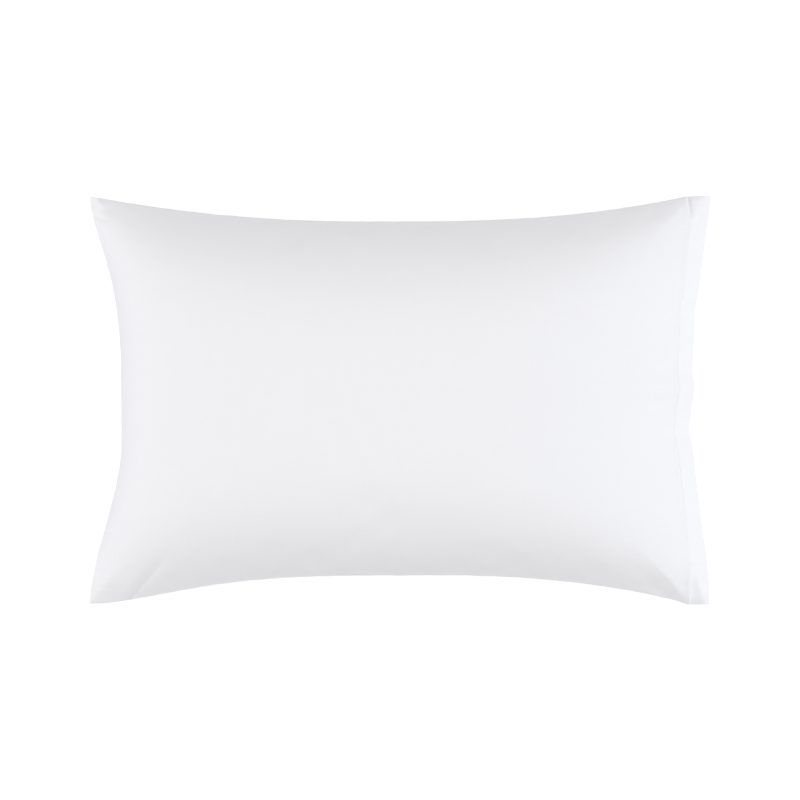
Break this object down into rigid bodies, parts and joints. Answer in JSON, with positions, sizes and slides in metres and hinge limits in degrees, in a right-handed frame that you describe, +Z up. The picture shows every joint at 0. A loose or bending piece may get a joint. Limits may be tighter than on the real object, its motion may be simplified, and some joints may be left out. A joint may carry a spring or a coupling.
{
  "type": "filled pillow protector",
  "caption": "White cloth pillow protector filled by its pillow, with a soft crown, drawn-in sides, pointed corners and a stitched hem at one end, lying on its back.",
  "frame": {"origin": "middle of the outline, on the surface that the back panel rests on", "axes": "+X along the length towards the hemmed end, +Y across towards the top side of the front panel, +Z up out of the front panel"},
  "size_m": [0.725, 0.477, 0.1715],
  "materials": {
    "white_cloth": "plain fine-woven white cloth, matte with a faint sheen"
  },
  "bodies": {
    "root": {"pillow_protector": "white_cloth"}
  },
  "joints": []
}
